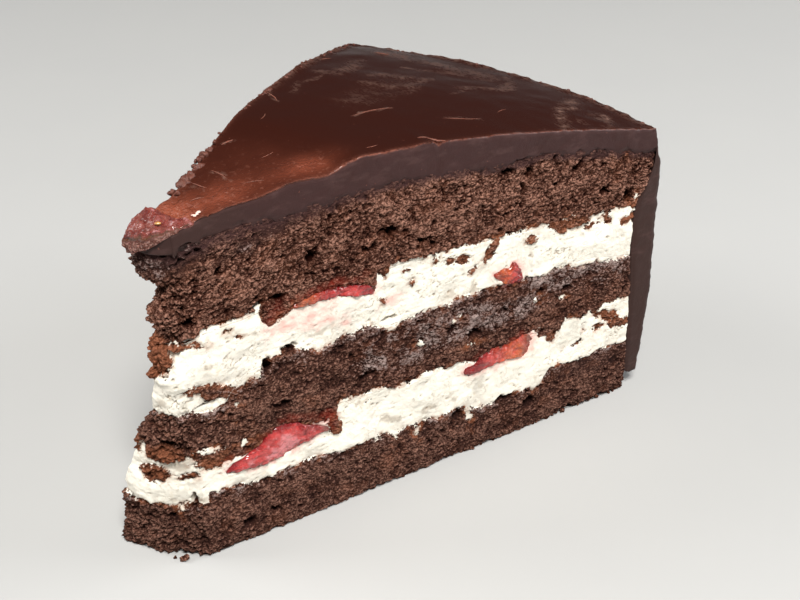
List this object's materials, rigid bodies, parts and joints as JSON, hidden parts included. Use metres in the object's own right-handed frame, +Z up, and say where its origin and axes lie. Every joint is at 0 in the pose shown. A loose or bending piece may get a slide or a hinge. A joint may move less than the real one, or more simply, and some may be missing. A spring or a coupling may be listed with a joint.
{
  "type": "black forest cake slice",
  "caption": "Wedge of layer cake: chocolate sponges, whipped cream fillings with fruit, and a chocolate coat over the domed top and the rim.",
  "frame": {"origin": "under the middle of the slice's box, in the plane that it stands on", "axes": "+X from the tip to the rim along the front cut, +Y into the slice from the front cut, +Z up"},
  "size_m": [0.1293, 0.0842, 0.0814],
  "materials": {
    "sponge": "dark chocolate sponge, open crumb, dull",
    "cream": "ivory whipped cream, torn by the knife, dull",
    "coat": "dark chocolate icing, glossy on top, dull where it is cut",
    "fruit": "wet red fruit"
  },
  "bodies": {
    "root": {"sponge_bottom": "sponge", "cream_lower": "cream", "sponge_middle": "sponge", "cream_upper": "cream", "sponge_top": "sponge", "chocolate_coat": "coat", "fruit_front_low_tip": "fruit", "fruit_front_low_rim": "fruit", "fruit_front_high_tip": "fruit", "fruit_front_high_rim": "fruit", "fruit_back_low": "fruit", "fruit_back_high_tip": "fruit", "fruit_back_high_rim": "fruit", "fruit_tip": "fruit"}
  },
  "joints": []
}
